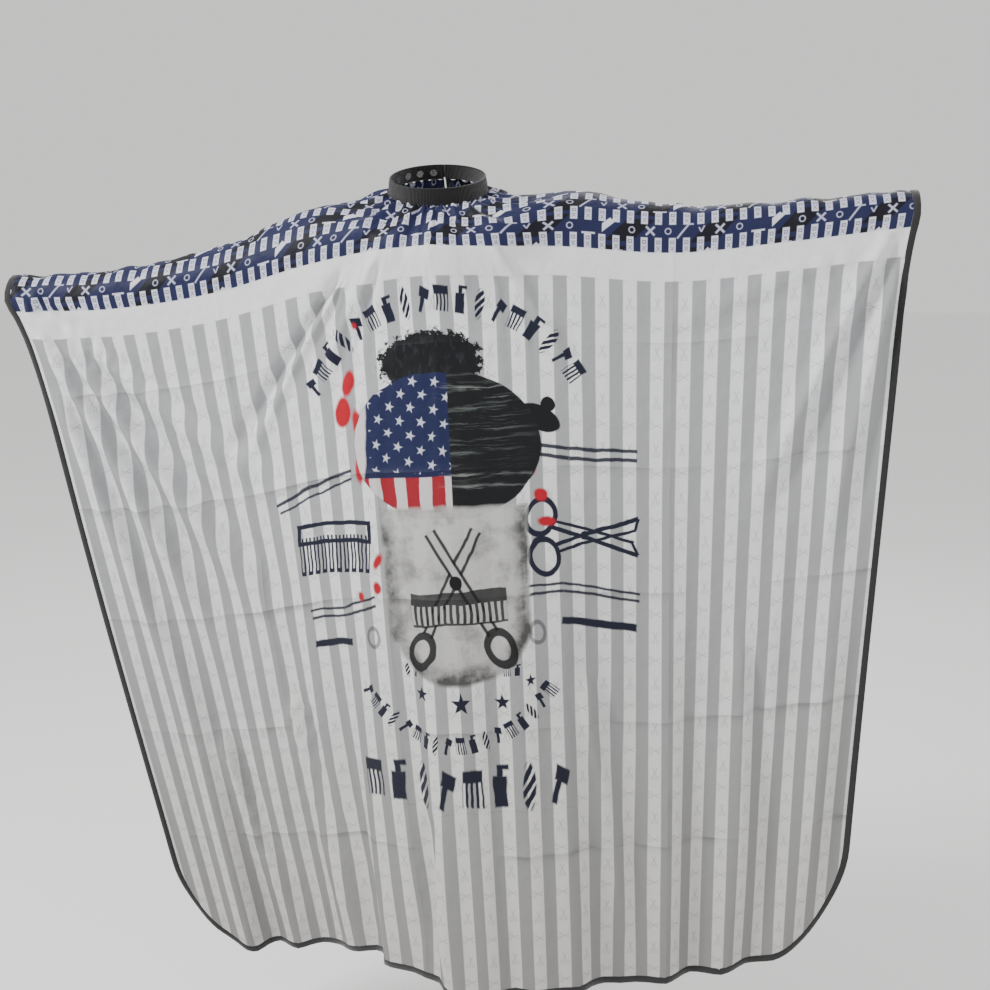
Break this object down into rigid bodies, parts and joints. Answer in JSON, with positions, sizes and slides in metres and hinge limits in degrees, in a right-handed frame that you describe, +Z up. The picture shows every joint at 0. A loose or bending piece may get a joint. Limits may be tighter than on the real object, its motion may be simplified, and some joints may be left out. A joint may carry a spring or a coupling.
{
  "type": "barber cape",
  "caption": "Hairdressing cape draped over two spread arms: a dark yoke and a striped front drop gathered into an elastic neckband with a snap tab at the nape.",
  "frame": {"origin": "centre of the neck, in the plane of the seam between the neckband and the cloth", "axes": "+Z up, -Y the way the wearer faces, +X towards the wearer's left arm"},
  "size_m": [1.1922, 0.2482, 1.1654],
  "materials": {
    "striped_cloth": "light plain-woven polyester, printed with grey and off-white stripes and a barber-tools crest",
    "dark_cloth": "the same polyester printed navy with rows of pale labels and tool icons",
    "black_knit": "matt ribbed elastic knit",
    "black_tape": "folded woven binding tape, stitched",
    "nickel": "nickel-plated ring snaps"
  },
  "bodies": {
    "draped_sheet": {"front_drop": "striped_cloth", "yoke_left": "dark_cloth", "yoke_right": "dark_cloth", "front_tape": "black_tape", "nape_tape_left": "black_tape", "nape_tape_right": "black_tape", "neckband": "black_knit", "snap_stud_1": "nickel", "snap_stud_2": "nickel", "snap_stud_3": "nickel", "snap_stud_4": "nickel", "snap_stud_5": "nickel", "snap_post_1": "nickel", "snap_post_2": "nickel", "snap_post_3": "nickel", "snap_post_4": "nickel", "snap_post_5": "nickel"},
    "tab": {"closing_tab": "black_knit", "snap_socket_1": "nickel", "snap_socket_2": "nickel", "snap_cap_1": "nickel", "snap_cap_2": "nickel"},
    "left_back_drop": {"back_drop_left": "dark_cloth", "back_tape_left": "black_tape", "slit_tape_left": "black_tape"},
    "right_back_drop": {"back_drop_right": "dark_cloth", "back_tape_right": "black_tape", "slit_tape_right": "black_tape"}
  },
  "joints": [
    {"name": "tab_peel", "type": "hinge", "parent": "draped_sheet", "child": "tab", "pos_m": [0.00947, 0.06335, 0.02861], "axis": [0.0193, 0.3915, -0.92], "range_deg": [0, 110]},
    {"name": "left_back_swing", "type": "hinge", "parent": "draped_sheet", "child": "left_back_drop", "pos_m": [-0.29111, 0.0603, -0.137], "axis": [0.9847, 0.0846, 0.1523], "range_deg": [-8, 60]},
    {"name": "right_back_swing", "type": "hinge", "parent": "draped_sheet", "child": "right_back_drop", "pos_m": [0.30511, 0.0603, -0.0835], "axis": [0.9963, -0.0817, 0.0278], "range_deg": [-8, 60]}
  ]
}
